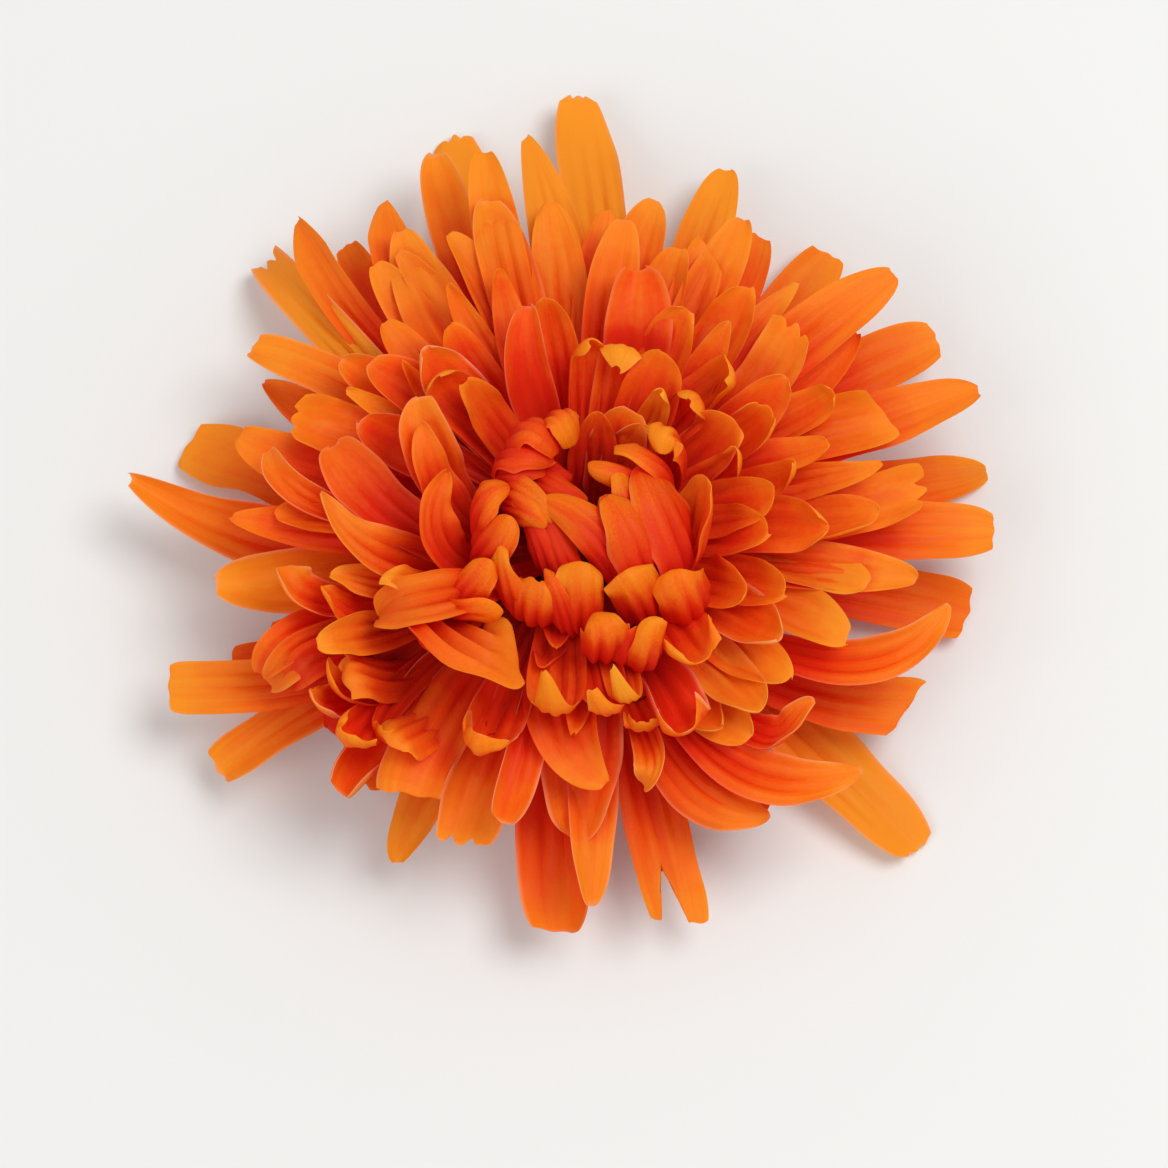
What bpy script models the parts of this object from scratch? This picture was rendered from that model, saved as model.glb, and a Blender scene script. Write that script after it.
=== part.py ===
"""Chrysanthemum: one open double bloom, picked short and laid face up.

The bloom lies on its cut stem and on its lowest row of petals, on the plane z = 0.
Every petal is a ray floret with its foot on the domed receptacle.  The petals of a
row follow one curve, turned about the bloom's axis, and the rows' curves nest inside
each other, so that no petal passes through another.

Lengths in this file are millimetres and angles are degrees; the model is in metres.
"""

import math

import bmesh
import bpy
from mathutils import Matrix, Vector

MM = 0.001
NAME = "chrysanthemum"

# ---------------------------------------------------------------------------
# Driving sizes
# ---------------------------------------------------------------------------
STEM_RADIUS = 3.5
STEM_HEIGHT = 6.0            # straight part of the cut stump
NECK_RADIUS = 6.0            # where the stump flares into the receptacle
NECK_HEIGHT = 8.6
DOME_RADIUS = 12.0           # receptacle, at its widest ring
DOME_BASE = 12.0             # height of that ring
DOME_RISE = 9.0              # from that ring to the top of the dome
TURN_STEPS = 24              # facets round a turned piece
FOOT_GAP = 0.35              # between the receptacle and whatever stands on it

PETAL_THICKNESS = 0.7
FOOT_WIDTH = 2.1             # a floret narrows to this at its foot
WIDEST = 0.70                # where a petal is widest, as a share of its length
TIP_SHARE = 0.46             # width of a petal's blunt end, as a share of its width
TIP_ROUND = 0.045            # how far the corners of that end stand back from its middle
PETAL_STEPS = 6              # facets along a petal
CUP_ANGLE = 24.0             # how far the two halves of a petal fold up

COLLAR_HEIGHT = 0.9          # ring that joins the petals of one whorl
COLLAR_WIDTH = 1.0
COLLAR_SINK = 0.45           # how deep a petal's foot stands in that ring

# Rows from the floor up.  Each row has the place of its feet on the dome, as an
# angle up from the widest ring, then the curve of its petals: where it ends
# (radius, height) and how steeply it arrives there.
ROWS = (
    {"foot": 1.0, "end": (77.0, 0.9), "arrive": 1.0, "start_pull": 0.18, "end_pull": 0.52},
    {"foot": 9.0, "end": (77.0, 5.5), "arrive": -8.0, "start_pull": 0.25, "end_pull": 0.40},
    {"foot": 17.0, "end": (73.0, 11.5), "arrive": -10.0, "start_pull": 0.28, "end_pull": 0.36},
    {"foot": 25.0, "end": (69.0, 17.5), "arrive": -8.0, "start_pull": 0.30, "end_pull": 0.34},
    {"foot": 33.0, "end": (66.0, 23.0), "arrive": -4.0, "start_pull": 0.32, "end_pull": 0.34},
    {"foot": 41.0, "end": (57.0, 28.5), "arrive": 2.0, "start_pull": 0.34, "end_pull": 0.34},
    {"foot": 49.0, "end": (46.0, 34.0), "arrive": 14.0, "start_pull": 0.36, "end_pull": 0.34},
    {"foot": 56.5, "end": (37.0, 39.0), "arrive": 28.0, "start_pull": 0.38, "end_pull": 0.34},
    {"foot": 63.5, "end": (28.0, 43.0), "arrive": 45.0, "start_pull": 0.38, "end_pull": 0.34},
    {"foot": 70.0, "end": (19.5, 45.5), "arrive": 68.0, "start_pull": 0.38, "end_pull": 0.34},
    {"foot": 76.5, "end": (11.0, 45.0), "arrive": 105.0, "start_pull": 0.36, "end_pull": 0.34},
    {"foot": 83.5, "end": (3.6, 41.0), "arrive": 112.0, "start_pull": 0.36, "end_pull": 0.30},
)

# Petals that show singly round the rim: for each row, (direction, reach, width).
# The direction is counted from +X towards +Y.
SINGLE_PETALS = (
    ((15, 67, 8.0), (53, 67, 8.0), (80, 58, 8.0), (107, 75, 8.0), (137, 73.5, 6.0),
     (162, 66.5, 9.0), (190, 58, 7.0), (226, 48, 8.0), (255, 47, 8.0), (287, 50, 8.0),
     (319, 68.5, 10.0), (352, 62, 8.0)),
    ((33, 67.5, 8.0), (71, 68, 6.5), (90, 76.5, 8.5), (126, 64.5, 7.0), (152, 58, 6.0),
     (209, 64, 8.5), (239, 56, 7.5), (266, 59.5, 9.5), (286, 61.5, 9.0), (334, 58, 7.5)),
    ((3, 65, 9.0), (61, 60, 8.0), (111, 70.5, 7.5), (130, 70.5, 7.5), (169, 71.5, 9.0),
     (198, 67, 7.5), (306, 50, 8.5)),
    ((22, 67.5, 8.0), (77, 57, 8.0), (99, 68.5, 5.5), (121, 65, 6.0), (148, 60.5, 6.5),
     (185, 56.5, 9.0), (223, 54.5, 7.5), (250, 51.5, 9.0), (273, 57, 7.5), (301, 52, 8.5)),
    ((41, 65, 8.0), (64, 57.5, 8.0), (102, 64.5, 6.3), (119, 59, 7.5), (164, 55.5, 7.5),
     (314, 56, 8.5), (344, 59, 8.0)),
    ((82, 50.5, 8.0), (174, 53.5, 8.0), (233, 52, 8.0), (258, 48, 8.5)),
)

# Whorls above them, from the outside in: petals round the ring, width, the
# direction of the first petal, and how much shorter every second petal is.
WHORLS = (
    {"name": "petal_whorl_outer", "count": 14, "width": 8.0, "turn": 5.0, "short": 0.90},
    {"name": "petal_whorl_upper", "count": 13, "width": 7.6, "turn": 14.0, "short": 0.92},
    {"name": "petal_whorl_middle", "count": 11, "width": 7.2, "turn": 0.0, "short": 0.90},
    {"name": "petal_whorl_inner", "count": 9, "width": 6.4, "turn": 20.0, "short": 0.90},
    {"name": "petal_whorl_incurved", "count": 7, "width": 5.6, "turn": 8.0, "short": 0.92},
    {"name": "petal_heart", "count": 4, "width": 3.6, "turn": 30.0, "short": 0.90},
)

# Bracts under the head: ring where they sit (radius, height), their reach, the
# height of their tips, number and width.
BRACT_THICKNESS = 0.7
BRACT_STEPS = 3
BRACTS = (
    {"name": "bracts_upper", "ring": (9.6, 9.6), "reach": 19.0, "tip": 7.6, "count": 10,
     "width": 4.4, "turn": 0.0},
    {"name": "bracts_lower", "ring": (6.8, 7.6), "reach": 14.5, "tip": 4.2, "count": 8,
     "width": 4.0, "turn": 18.0},
)
BRACT_COLLAR = 0.9

# Finishes: colour as linear red, green and blue, then roughness.
FINISHES = {
    "petal_orange": ((0.90, 0.16, 0.006), 0.55),
    "petal_deep": ((0.72, 0.07, 0.004), 0.55),
    "bract_green": ((0.10, 0.19, 0.05), 0.60),
    "stem_green": ((0.09, 0.15, 0.05), 0.55),
}


# ---------------------------------------------------------------------------
# Scene, collections and finishes
# ---------------------------------------------------------------------------
def clear_scene():
    for obj in list(bpy.data.objects):
        bpy.data.objects.remove(obj, do_unlink=True)


def make_collection(name):
    collection = bpy.data.collections.new(name)
    bpy.context.scene.collection.children.link(collection)
    return collection


def make_material(node, finish):
    colour, roughness = FINISHES[finish]
    material = bpy.data.materials.new(node)
    material.use_nodes = True
    shader = material.node_tree.nodes["Principled BSDF"]
    shader.inputs["Base Color"].default_value = (*colour, 1.0)
    shader.inputs["Roughness"].default_value = roughness
    shader.inputs["Metallic"].default_value = 0.0
    return material


def add_object(mesh_builder, name, collection, parent):
    mesh = bpy.data.meshes.new(name)
    mesh_builder.to_mesh(mesh)
    mesh_builder.free()
    obj = bpy.data.objects.new(name, mesh)
    collection.objects.link(obj)
    obj.parent = parent
    return obj


def finish_object(obj, finish):
    obj.data.materials.append(make_material(obj.name, finish))
    obj.data.shade_smooth()


# ---------------------------------------------------------------------------
# Curves
# ---------------------------------------------------------------------------
def dome_point(angle, lift=0.0):
    """Point of the receptacle's profile (radius, height), lifted off along its normal."""
    turn = math.radians(angle)
    normal = Vector((math.cos(turn) / DOME_RADIUS, math.sin(turn) / DOME_RISE)).normalized()
    on_dome = Vector((DOME_RADIUS * math.cos(turn), DOME_BASE + DOME_RISE * math.sin(turn)))
    return on_dome + lift * normal, normal


def row_curve(row, lift):
    """The four control points of a row's curve, from foot to end."""
    start, normal = dome_point(row["foot"], lift)
    end = Vector(row["end"])
    chord = (end - start).length
    arrive = math.radians(row["arrive"])
    leave = start + row["start_pull"] * chord * normal
    near_end = end - row["end_pull"] * chord * Vector((math.cos(arrive), math.sin(arrive)))
    return start, leave, near_end, end


def curve_point(points, share):
    """Point and unit direction of a cubic curve at a share of its parameter."""
    a, b, c, d = points
    rest = 1.0 - share
    place = rest ** 3 * a + 3 * rest ** 2 * share * b + 3 * rest * share ** 2 * c + share ** 3 * d
    slope = rest ** 2 * (b - a) + 2 * rest * share * (c - b) + share ** 2 * (d - c)
    return place, slope.normalized()


def share_at_reach(points, reach):
    """Parameter at which a curve that runs outward has come to a radius."""
    low, high = 0.0, 1.0
    for _ in range(30):
        middle = 0.5 * (low + high)
        if curve_point(points, middle)[0].x < reach:
            low = middle
        else:
            high = middle
    return high


# ---------------------------------------------------------------------------
# Petals and bracts
# ---------------------------------------------------------------------------
def beyond_widest(share):
    """How far a place on a petal lies from its widest part (0) towards its tip (1)."""
    return max(0.0, (share - WIDEST) / (1.0 - WIDEST))


def petal_half_width(share, width, foot_width):
    """Half the width of a petal, from its foot (0) to its blunt tip (1)."""
    swell = math.sin(min(share / WIDEST, 1.0) * math.pi / 2.0) ** 1.3
    half = 0.5 * (foot_width + (width - foot_width) * swell)
    return half * (1.0 - (1.0 - TIP_SHARE) * beyond_widest(share) ** 2.2)


def add_petal(builder, points, last, direction, width, foot_width, steps, cup):
    """Add one petal's surface: a grid of two columns bent along its row's curve."""
    grid = bmesh.ops.create_grid(builder, x_segments=2, y_segments=steps, size=1.0)
    turn = Matrix.Rotation(math.radians(direction), 3, "Z")
    fold = math.radians(cup)
    for vert in grid["verts"]:
        across = vert.co.x
        share = 0.5 * (vert.co.y + 1.0)
        back = TIP_ROUND * abs(across) * beyond_widest(share)
        place, slope = curve_point(points, (share - back) * last)
        half = petal_half_width(share, width, foot_width)
        aside = half * math.cos(fold) * across
        up = half * math.sin(fold) * abs(across) * min(1.0, 3.0 * share)
        flat = Vector((place.x - slope.y * up, aside, place.y + slope.x * up))
        vert.co = turn @ flat * MM
    return grid["verts"]


def add_thickness(obj, thickness):
    solidify = obj.modifiers.new("thickness", "SOLIDIFY")
    solidify.thickness = thickness * MM
    solidify.offset = 0.0
    solidify.use_even_offset = False


def make_single_petals(collection, parent):
    for row_number, (row, petals) in enumerate(zip(ROWS, SINGLE_PETALS), start=1):
        points = row_curve(row, FOOT_GAP)
        for number, (direction, reach, width) in enumerate(petals, start=1):
            builder = bmesh.new()
            last = share_at_reach(points, reach)
            add_petal(builder, points, last, direction, width, FOOT_WIDTH, PETAL_STEPS, CUP_ANGLE)
            obj = add_object(builder, f"petal_row{row_number}_{number:02d}", collection, parent)
            add_thickness(obj, PETAL_THICKNESS)
            finish_object(obj, "petal_orange")


# ---------------------------------------------------------------------------
# Turned pieces
# ---------------------------------------------------------------------------
def turn_profile(name, profile, closed, collection, parent):
    """Turn a profile of (radius, height) points about the bloom's axis."""
    builder = bmesh.new()
    verts = [builder.verts.new((radius * MM, 0.0, height * MM)) for radius, height in profile]
    for first, second in zip(verts, verts[1:]):
        builder.edges.new((first, second))
    if closed:
        builder.edges.new((verts[-1], verts[0]))
    obj = add_object(builder, name, collection, parent)
    screw = obj.modifiers.new("turn", "SCREW")
    screw.axis = "Z"
    screw.steps = TURN_STEPS
    screw.render_steps = TURN_STEPS
    screw.use_merge_vertices = True
    screw.merge_threshold = 0.00001
    screw.use_smooth_shade = True
    return obj


def make_receptacle(collection, parent):
    dome_angles = (80.0, 66.0, 52.0, 38.0, 24.0, 12.0, 0.0)
    profile = [(0.0, DOME_BASE + DOME_RISE)]
    profile += [tuple(dome_point(angle)[0]) for angle in dome_angles]
    profile += [(NECK_RADIUS, NECK_HEIGHT), (STEM_RADIUS, STEM_HEIGHT)]
    profile += [(STEM_RADIUS, 0.0), (0.0, 0.0)]
    obj = turn_profile("stem_with_receptacle", profile, False, collection, parent)
    finish_object(obj, "stem_green")


def join_to_collar(collar, petals):
    """Unite a whorl's petals with the ring that they stand in."""
    petals.hide_render = True
    petals.display_type = "WIRE"
    union = collar.modifiers.new("petals", "BOOLEAN")
    union.operation = "UNION"
    union.solver = "EXACT"
    union.object = petals


def make_whorl(row, whorl, collection, helpers, parent):
    low, normal = dome_point(row["foot"], FOOT_GAP)
    along = Vector((-normal.y, normal.x)) * 0.5 * COLLAR_WIDTH
    high = low + COLLAR_HEIGHT * normal
    profile = [high + along, high - along, low - along, low + along]
    collar = turn_profile(whorl["name"], profile, True, collection, parent)

    points = row_curve(row, FOOT_GAP + COLLAR_HEIGHT - COLLAR_SINK)
    foot_width = min(FOOT_WIDTH, 0.8 * 2.0 * math.pi * low.x / whorl["count"])
    builder = bmesh.new()
    for number in range(whorl["count"]):
        direction = whorl["turn"] + 360.0 * number / whorl["count"]
        last = whorl["short"] if number % 2 else 1.0
        add_petal(builder, points, last, direction, whorl["width"], foot_width,
                  PETAL_STEPS, CUP_ANGLE)
    petals = add_object(builder, whorl["name"] + "_petals", helpers, parent)
    add_thickness(petals, PETAL_THICKNESS)
    join_to_collar(collar, petals)
    finish_object(collar, "petal_deep")


def make_bracts(spec, collection, helpers, parent):
    radius, height = spec["ring"]
    half = 0.5 * BRACT_COLLAR
    profile = [(radius + half, height + half), (radius + half, height - half),
               (radius - half, height - half), (radius - half, height + half)]
    collar = turn_profile(spec["name"], profile, True, collection, parent)

    start = Vector((radius, height))
    end = Vector((spec["reach"], spec["tip"]))
    third = (end - start) / 3.0
    points = (start, start + third + Vector((0.0, 0.6)), end - third + Vector((0.0, 0.6)), end)
    builder = bmesh.new()
    for number in range(spec["count"]):
        direction = spec["turn"] + 360.0 * number / spec["count"]
        add_petal(builder, points, 1.0, direction, spec["width"], 0.8 * spec["width"],
                  BRACT_STEPS, 0.0)
    bracts = add_object(builder, spec["name"] + "_leaves", helpers, parent)
    add_thickness(bracts, BRACT_THICKNESS)
    join_to_collar(collar, bracts)
    finish_object(collar, "bract_green")


# ---------------------------------------------------------------------------
# The bloom
# ---------------------------------------------------------------------------
def bloom_centre():
    """Middle of the outline that the petals' tips reach, seen from the bloom's axis."""
    tips = [Matrix.Rotation(math.radians(direction), 2) @ Vector((reach, 0.0))
            for petals in SINGLE_PETALS for direction, reach, _ in petals]
    middle_x = 0.5 * (min(tip.x for tip in tips) + max(tip.x for tip in tips))
    middle_y = 0.5 * (min(tip.y for tip in tips) + max(tip.y for tip in tips))
    return middle_x, middle_y


def main():
    clear_scene()
    parts = make_collection(NAME)
    helpers = make_collection(NAME + "_helpers")
    middle_x, middle_y = bloom_centre()
    axis = bpy.data.objects.new("bloom_axis", None)
    axis.location = (-middle_x * MM, -middle_y * MM, 0.0)
    parts.objects.link(axis)

    make_receptacle(parts, axis)
    make_single_petals(parts, axis)
    for row, whorl in zip(ROWS[len(SINGLE_PETALS):], WHORLS):
        make_whorl(row, whorl, parts, helpers, axis)
    for spec in BRACTS:
        make_bracts(spec, parts, helpers, axis)


main()
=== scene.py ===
"""Looks of an open orange chrysanthemum bloom that lies face up, picked short under its head.

The stump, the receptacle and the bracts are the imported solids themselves, and the single
petals are measured from theirs.  The petals of the whorls have places of their own about
the bloom's axis, with their feet on the receptacle.  Each petal is a sheet bent along its
own curve, cupped, ribbed and given its own tip.
"""
import math
import random
from dataclasses import dataclass

import bmesh
import bpy
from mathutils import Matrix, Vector
from mathutils.bvhtree import BVHTree


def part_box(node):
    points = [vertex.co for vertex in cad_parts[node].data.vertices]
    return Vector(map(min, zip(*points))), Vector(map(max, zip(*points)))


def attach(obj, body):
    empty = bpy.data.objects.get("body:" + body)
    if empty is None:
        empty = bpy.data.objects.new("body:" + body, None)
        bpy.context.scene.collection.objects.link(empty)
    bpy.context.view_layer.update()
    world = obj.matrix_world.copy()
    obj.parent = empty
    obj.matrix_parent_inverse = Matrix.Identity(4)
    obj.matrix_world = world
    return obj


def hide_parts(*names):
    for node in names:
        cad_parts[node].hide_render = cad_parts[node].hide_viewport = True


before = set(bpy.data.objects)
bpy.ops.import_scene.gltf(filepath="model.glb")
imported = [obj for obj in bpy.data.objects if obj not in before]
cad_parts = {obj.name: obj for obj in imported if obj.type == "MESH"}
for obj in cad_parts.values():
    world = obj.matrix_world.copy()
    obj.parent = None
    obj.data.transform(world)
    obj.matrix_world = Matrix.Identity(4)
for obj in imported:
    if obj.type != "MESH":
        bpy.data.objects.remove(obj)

bl_info = {
    "name": "Chrysanthemum bloom",
    "version": (1, 0, 0),
    "blender": (4, 5, 0),
    "location": "3D View > Sidebar > Bloom",
    "description": "Dresses the packed solids of a chrysanthemum bloom with modelled petals",
    "category": "Object",
}

MM = 0.001
BODY = "root"
UP = Vector((0.0, 0.0, 1.0))

# ---------------------------------------------------------------------------
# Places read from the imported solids, in millimetres
# ---------------------------------------------------------------------------
STUMP_LOW, STUMP_HIGH = (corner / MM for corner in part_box("stem_with_receptacle"))
AXIS = 0.5 * (STUMP_LOW + STUMP_HIGH)          # the bloom's axis stands over this point
DOME_RADIUS = 0.5 * (STUMP_HIGH.x - STUMP_LOW.x)
DOME_TOP = STUMP_HIGH.z
DOME_RISE = 0.75 * DOME_RADIUS                 # the receptacle is a low dome
DOME_BASE = DOME_TOP - DOME_RISE

# ---------------------------------------------------------------------------
# Shape of a petal
# ---------------------------------------------------------------------------
STEPS_ALONG = 42
STEPS_ACROSS = 18
CROWDING = 1.5            # above 1, the steps along a petal are closer towards its tip
FOOT_WIDTH = 2.2          # a floret narrows to a tube at its foot
FOOT_LIFT = 0.3           # gap between a foot and the receptacle
LEAVE = 0.36              # how far a petal keeps its first direction, as a share of its length
SETTLE = 0.34             # and how long before its tip it takes its last one
WIDEST = 0.72             # where a petal is widest, as a share of its length
TUBE_LENGTH = 0.30        # share of a petal that is rolled towards a tube
TUBE_ROLL = 2.0           # half angle of that roll, in radians
FLATTEST = 0.001          # least half angle of a cross section, in radians
TIP_CUP = 0.85            # cup of a tip against the rest's, if nothing else is said
GROOVE_DEPTH = 0.13       # depth of the lengthwise grooves, as a share of the half width
GROOVES = 4
RUFFLE = 0.08             # waviness of the edges, as a share of the width
LONG_RIPPLES = 2.1        # waves along an edge
SHORT_RIPPLES = 4.3
HOOK_START = 0.80         # share of the length from which a hooked tip lifts
NOTCHES = ((0.30, 0.13, 1.0), (-0.34, 0.12, 0.8))     # place across, breadth and depth
FORK_PLACE, FORK_BREADTH = -0.1, 0.42
RAGGED = 0.008            # unevenness of a broad end, as a share of the length
EDGE_THICKNESS = 0.12     # thickness of an edge, as a share of the middle's
SHARP = math.radians(55.0)
PETAL_LAYERS = ("along", "across", "tone", "pale")     # what each point keeps for its finish

# How far chance moves a petal, either way
SWAY = 0.22               # bow to one side, as a share of its width
DRIFT = 0.30              # bend of its tip to one side, as a share of its width
WANDER = 14.0             # degrees between its tip's heading and straight out
LEAN = 13.0               # degrees of roll that it has from its middle on
TWIST = 16.0              # degrees of roll gained towards its tip
SKEW = 0.30               # how much more one half is cupped than the other
BUCKLE = 0.03             # rise and dip along it, as a share of its length
SLANT = 0.012             # slope of its end, as a share of its length
TONE = 0.07               # yellower or redder
RUFFLING = (0.6, 1.4)     # its waviness against the usual
RIM_HIGHLIGHT_RANGE = (-0.3, 0.15)   # how strong its painted rim highlight may be by itself

LOOSE = 0.35              # share of this that a usual petal takes
LOOSE_BENT = 0.30         # and one whose middle line is drawn


@dataclass(frozen=True)
class Tip:
    """How a petal ends: where it starts to close, how full and how wide its end is."""

    start: float
    power: float
    end: float
    rounding: float = 0.0
    notch: float = 0.0
    fork: float = 0.0


TIPS = {
    "round": Tip(start=0.68, power=2.1, end=0.08),
    "oval": Tip(start=0.50, power=2.0, end=0.06),
    "blunt": Tip(start=0.80, power=2.2, end=0.28, rounding=0.012),
    "square": Tip(start=0.88, power=2.4, end=0.52, rounding=0.018),
    "spade": Tip(start=0.86, power=1.3, end=0.08),
    "point": Tip(start=0.42, power=1.3, end=0.02),
    "leaf": Tip(start=0.40, power=1.6, end=0.04),
    "notch": Tip(start=0.78, power=2.2, end=0.52, rounding=0.025, notch=0.035),
    "lobed": Tip(start=0.78, power=1.9, end=0.34, rounding=0.02, notch=0.012),
    "fork": Tip(start=0.72, power=2.4, end=0.66, rounding=0.02, fork=0.24),
}


@dataclass(frozen=True)
class Petal:
    """One ray floret, in millimetres and degrees about the bloom's axis.

    direction, reach, top: where its tip is, as an angle from +X, a radius and a height.
    arrive: how it points there; 0 is level along its heading, 90 up, 180 level and back.
    """

    direction: float
    reach: float
    top: float
    arrive: float
    width: float
    tip: str = "round"
    root: float = None        # where its foot stands about the axis, if not under its tip
    heading: float = None     # the way its tip points, if not straight out
    bends: tuple = None       # where its middle line is drawn to, as two more such places
    cup: float = 35.0         # half angle of its cross section, below 0 if it arches
    tip_cup: float = None
    twist: float = 0.0        # roll gained towards its tip
    drift: float = None       # how far its tip bends to the left
    hook: float = 0.0         # how far the end of its tip lifts
    wave: float = 1.0         # waviness of its edges
    fold: float = 0.0         # crease along its middle
    ribs: float = 1.0         # how deep its grooves are
    slant: float = 0.0        # how far one corner of its tip stands back, against its length
    tone: float = 0.0         # yellower above 0, redder below; far below 0 it gives painted shade, darker and redder
    pale: float = 0.0         # how strong the painted highlight on its pale rim is
    loose: float = LOOSE      # how freely chance bends and turns it


def level(degrees):
    """The level direction at an angle from +X."""
    return Vector((math.cos(math.radians(degrees)), math.sin(math.radians(degrees)), 0.0))


def spot(degrees, reach, top):
    """A place about the bloom's axis."""
    return reach * level(degrees) + top * UP


def bent(direction, reach, top, width, root, first, second, tip="round", loose=LOOSE_BENT,
         **traits):
    """A petal whose middle line is drawn from its root towards two places."""
    return Petal(direction, reach, top, 0.0, width, tip, root, bends=(first, second),
                 loose=loose, **traits)


class Sheet:
    """The bent sheet of one petal, worked out once so that its points can be asked for."""

    FRAMES = 40

    def __init__(self, petal, ring):
        self.petal = petal
        self.tip = TIPS[petal.tip]
        self.tip_cup = TIP_CUP * petal.cup if petal.tip_cup is None else petal.tip_cup
        chance = random.Random(f"{petal.direction} {petal.reach} {petal.top}")

        def either_way(most):
            return chance.uniform(-most, most)

        loose = petal.loose
        turning = min(1.0, 2.0 * loose)
        self.sway = loose * either_way(SWAY) * petal.width
        self.drift = loose * either_way(DRIFT) * petal.width
        if petal.drift is not None:
            self.drift = petal.drift
        wander = either_way(WANDER) if petal.heading is None else 0.0
        self.lean = turning * either_way(LEAN)
        self.twist = petal.twist + turning * either_way(TWIST)
        self.skew = either_way(SKEW)
        self.ruffle = petal.wave * RUFFLE * petal.width * chance.uniform(*RUFFLING)
        self.phases = [chance.uniform(0.0, 1.0) for _ in range(4)]
        self.tone = petal.tone + either_way(TONE)
        self.pale = max(petal.pale, chance.uniform(*RIM_HIGHLIGHT_RANGE))
        self.slant = petal.slant + either_way(SLANT)
        self.curve = self.control_points(ring, wander)
        span = (self.curve[3] - self.curve[0]).length
        self.buckle = turning * either_way(BUCKLE) * span
        self.frames = self.carried_frames()

    def control_points(self, ring, wander):
        """Cubic curve of the middle line, from the receptacle to the tip."""
        petal = self.petal
        outward = level(petal.direction if petal.root is None else petal.root)
        turn = math.radians(ring)
        foot = DOME_RADIUS * math.cos(turn) * outward
        foot += (DOME_BASE + DOME_RISE * math.sin(turn)) * UP
        normal = math.cos(turn) / DOME_RADIUS * outward + math.sin(turn) / DOME_RISE * UP
        normal.normalize()
        start = foot + FOOT_LIFT * normal
        end = spot(petal.direction, petal.reach, petal.top)
        if petal.bends is not None:
            first, second = (spot(*bend) for bend in petal.bends)
            return start, first, second, end
        heading = petal.direction + wander if petal.heading is None else petal.heading
        arrive = math.radians(petal.arrive)
        pointing = math.cos(arrive) * level(heading) + math.sin(arrive) * UP
        chord = (end - start).length
        return start, start + LEAVE * chord * normal, end - SETTLE * chord * pointing, end

    def middle(self, share):
        """Point of the middle line."""
        a, b, c, d = self.curve
        rest = 1.0 - share
        return (rest ** 3 * a + 3 * rest ** 2 * share * b
                + 3 * rest * share ** 2 * c + share ** 3 * d)

    def carried_frames(self):
        """Sideways and inward directions, carried up the middle line without a roll."""
        outward = (self.curve[0] * Vector((1.0, 1.0, 0.0))).normalized()
        aside = UP.cross(outward)
        frames = []
        for number in range(self.FRAMES + 1):
            share = number / self.FRAMES
            ahead = self.middle(min(1.0, share + 0.01)) - self.middle(max(0.0, share - 0.01))
            inner = ahead.cross(aside).normalized()
            aside = inner.cross(ahead).normalized()
            frames.append((aside.copy(), inner))
        return frames

    def frame_at(self, share):
        """Those directions at a place along the petal, rolled by its lean and twist."""
        place = share * self.FRAMES
        number = min(int(place), self.FRAMES - 1)
        mix = place - number
        before, after = self.frames[number], self.frames[number + 1]
        aside = before[0].lerp(after[0], mix).normalized()
        inner = before[1].lerp(after[1], mix).normalized()
        roll = math.radians(self.lean * min(1.0, 2.0 * share) + self.twist * share ** 2)
        return (math.cos(roll) * aside + math.sin(roll) * inner,
                math.cos(roll) * inner - math.sin(roll) * aside)

    def setback(self, across):
        """Share of its length by which the edge stands back from the furthest point."""
        tip = self.tip
        back = tip.rounding * abs(across) ** 2.4 + abs(self.slant) + self.slant * across
        for place, breadth, depth in NOTCHES:
            back += depth * tip.notch * math.exp(-((across - place) / breadth) ** 2)
        back += RAGGED * tip.end * (1.0 + math.sin(7.0 * across + 6.0 * self.phases[0]))
        gap = max(0.0, 1.0 - abs(across - FORK_PLACE) / FORK_BREADTH)
        return back + tip.fork * gap ** 1.2

    def half_width(self, share):
        """Half the breadth of the sheet, if it were laid flat."""
        tip, width = self.tip, self.petal.width
        foot = min(FOOT_WIDTH, 0.4 * width)
        swell = math.sin(min(share / WIDEST, 1.0) * math.pi / 2.0) ** 1.2
        half = 0.5 * (foot + (width - foot) * swell)
        beyond = min(1.0, max(0.0, (share - tip.start) / (1.0 - tip.start)))
        return half * (tip.end + (1.0 - tip.end) * (1.0 - beyond ** tip.power) ** (1.0 / tip.power))

    def section(self, share, across):
        """The cross section: how far a point lies to the side and how far it rises."""
        petal, phases = self.petal, self.phases
        half = self.half_width(share)
        roll = math.radians(petal.cup + (self.tip_cup - petal.cup) * share)
        roll *= 1.0 + self.skew * across
        tube = max(FLATTEST, TUBE_ROLL * (1.0 - share / TUBE_LENGTH))
        roll = max(roll, tube) if petal.cup > 0.0 else min(roll, -FLATTEST) + tube
        out = half / roll * math.sin(roll * across)
        up = half / roll * (1.0 - math.cos(roll * across))
        groove = math.cos(GROOVES * math.pi * across + 3.0 * phases[0]) * (1.0 - across * across)
        up += petal.ribs * GROOVE_DEPTH * half * groove * math.sin(math.pi * min(1.0, 1.1 * share))
        crease = math.tan(math.radians(petal.fold)) * math.sin(2.6 * share)
        up += crease * half * (abs(across) - 0.5)
        side = 1 if across > 0 else 2
        ripple = math.sin(2.0 * math.pi * (LONG_RIPPLES * share + phases[side]))
        ripple += 0.5 * math.sin(2.0 * math.pi * (SHORT_RIPPLES * share + phases[3 - side]))
        up += self.ruffle * abs(across) ** 2.5 * share * ripple
        return out, up

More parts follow.
